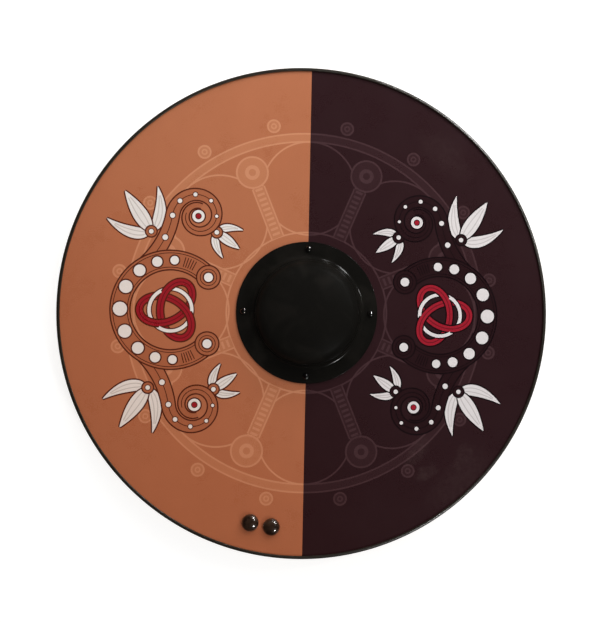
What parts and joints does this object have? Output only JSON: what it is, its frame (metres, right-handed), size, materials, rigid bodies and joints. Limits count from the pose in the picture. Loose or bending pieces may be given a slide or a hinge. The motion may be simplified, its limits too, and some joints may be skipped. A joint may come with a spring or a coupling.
{
  "type": "round shield",
  "caption": "Flat round wooden shield, half light and half dark, with a hollow boss over a hand hole, a black edging, two studs near the rim and a grip behind.",
  "frame": {"origin": "under the middle of the shield, on the surface that it lies on, at the grip's underside", "axes": "+Z out of the shield's face, +Y along the line between its two halves, away from the studs"},
  "size_m": [0.6, 0.6, 0.0687],
  "materials": {
    "plywood": "sealed, matt",
    "print": "satin print",
    "edging": "gloss",
    "boss": "gloss black",
    "rivet": "gloss black",
    "stud": "dark bronze gloss",
    "steel": "zinc plated",
    "grip": "oiled"
  },
  "bodies": {
    "root": {"board": "plywood", "printed_skin": "print", "edging": "edging", "boss": "boss", "grip": "grip", "boss_rivet_right": "rivet", "rivet_washer_right": "steel", "boss_rivet_top": "rivet", "rivet_washer_top": "steel", "boss_rivet_left": "rivet", "rivet_washer_left": "steel", "boss_rivet_bottom": "rivet", "rivet_washer_bottom": "steel", "stud_left": "stud", "stud_washer_left": "steel", "stud_nut_left": "steel", "stud_right": "stud", "stud_washer_right": "steel", "stud_nut_right": "steel"}
  },
  "joints": []
}
